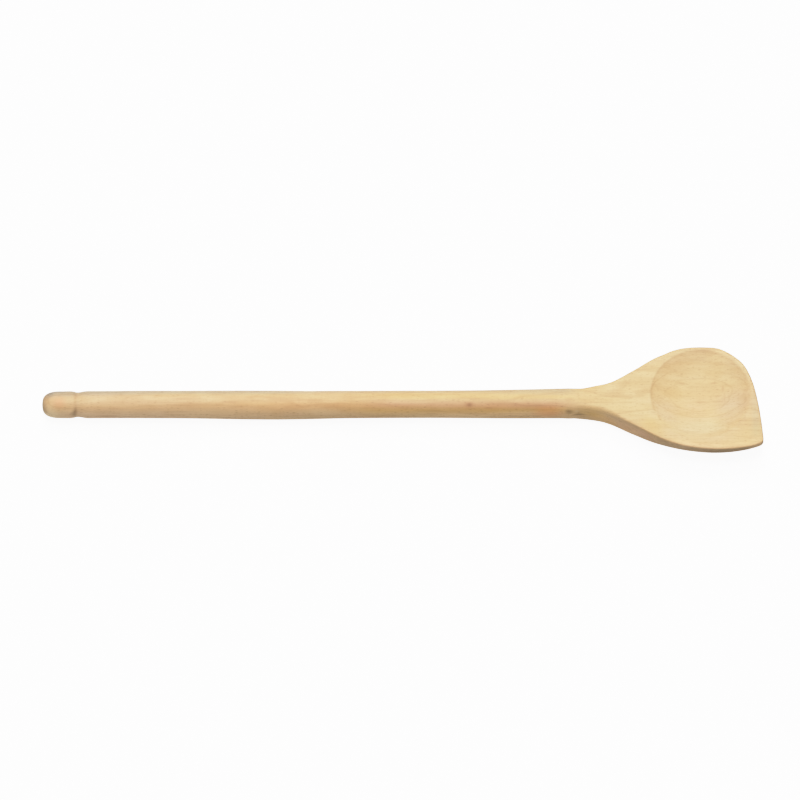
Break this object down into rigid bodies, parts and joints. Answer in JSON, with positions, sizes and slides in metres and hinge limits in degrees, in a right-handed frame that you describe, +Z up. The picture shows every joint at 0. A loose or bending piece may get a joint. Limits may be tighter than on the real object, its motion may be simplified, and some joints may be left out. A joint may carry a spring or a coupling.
{
  "type": "wooden mixing spoon",
  "caption": "One-piece wooden mixing spoon with a round handle, a knob and ring groove at its end, and a flat-topped head with a pointed corner and a round shallow dish.",
  "frame": {"origin": "middle of the bounding box in X and Y, on the plane that the spoon lies on, which is the flat underside of the neck", "axes": "+X runs along the spoon from the knob to the pointed corner, +Y runs across it away from the pointed corner, +Z is up, the way the dish opens"},
  "size_m": [0.3, 0.0481, 0.0124],
  "materials": {
    "beech": "plain sanded beech, unvarnished, soft satin"
  },
  "bodies": {
    "root": {"spoon": "beech"}
  },
  "joints": []
}
